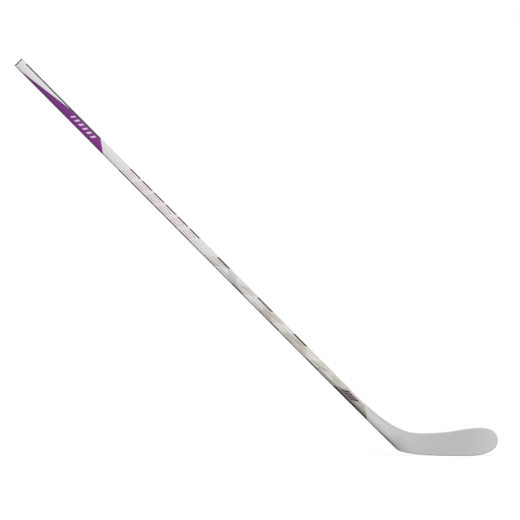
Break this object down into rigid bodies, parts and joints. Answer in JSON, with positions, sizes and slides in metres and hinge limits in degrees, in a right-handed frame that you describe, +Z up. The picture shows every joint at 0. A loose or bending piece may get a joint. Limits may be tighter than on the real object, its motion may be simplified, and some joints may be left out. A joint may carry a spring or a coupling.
{
  "type": "ice hockey stick",
  "caption": "Left-handed composite ice hockey stick: hollow rectangular shaft with an end plug, flowing through a hosel into a curved, foam-cored blade with an open face.",
  "frame": {"origin": "middle of the top hand's grip, on the axis of the shaft, 60 mm below the butt end", "axes": "+X along the ice from heel to toe, +Y away from the forehand face, +Z up from the ice, with the stick in playing pose and its sole level"},
  "size_m": [1.3598, 0.028, 1.1188],
  "materials": {
    "shaft_paint": "silver-white lacquer under a satin clear grip coat, on carbon-fibre laminate",
    "blade_paint": "satin silver-grey lacquer on carbon-fibre laminate",
    "edge_paint": "satin silver-grey lacquer on the laminate edge",
    "bare_laminate": "bare carbon-fibre laminate",
    "plug_plastic": "fine-textured moulded plastic",
    "core_foam": "closed-cell rigid foam"
  },
  "bodies": {
    "root": {"shaft_tube": "shaft_paint", "butt_plug": "plug_plastic", "blade_tenon": "bare_laminate", "tenon_core": "core_foam", "forehand_skin": "blade_paint", "backhand_skin": "blade_paint", "sole_edge_band": "edge_paint", "top_edge_band": "edge_paint", "toe_block": "edge_paint", "hosel_core": "core_foam", "lower_core": "core_foam", "upper_core": "core_foam", "mid_rib": "bare_laminate"}
  },
  "joints": []
}
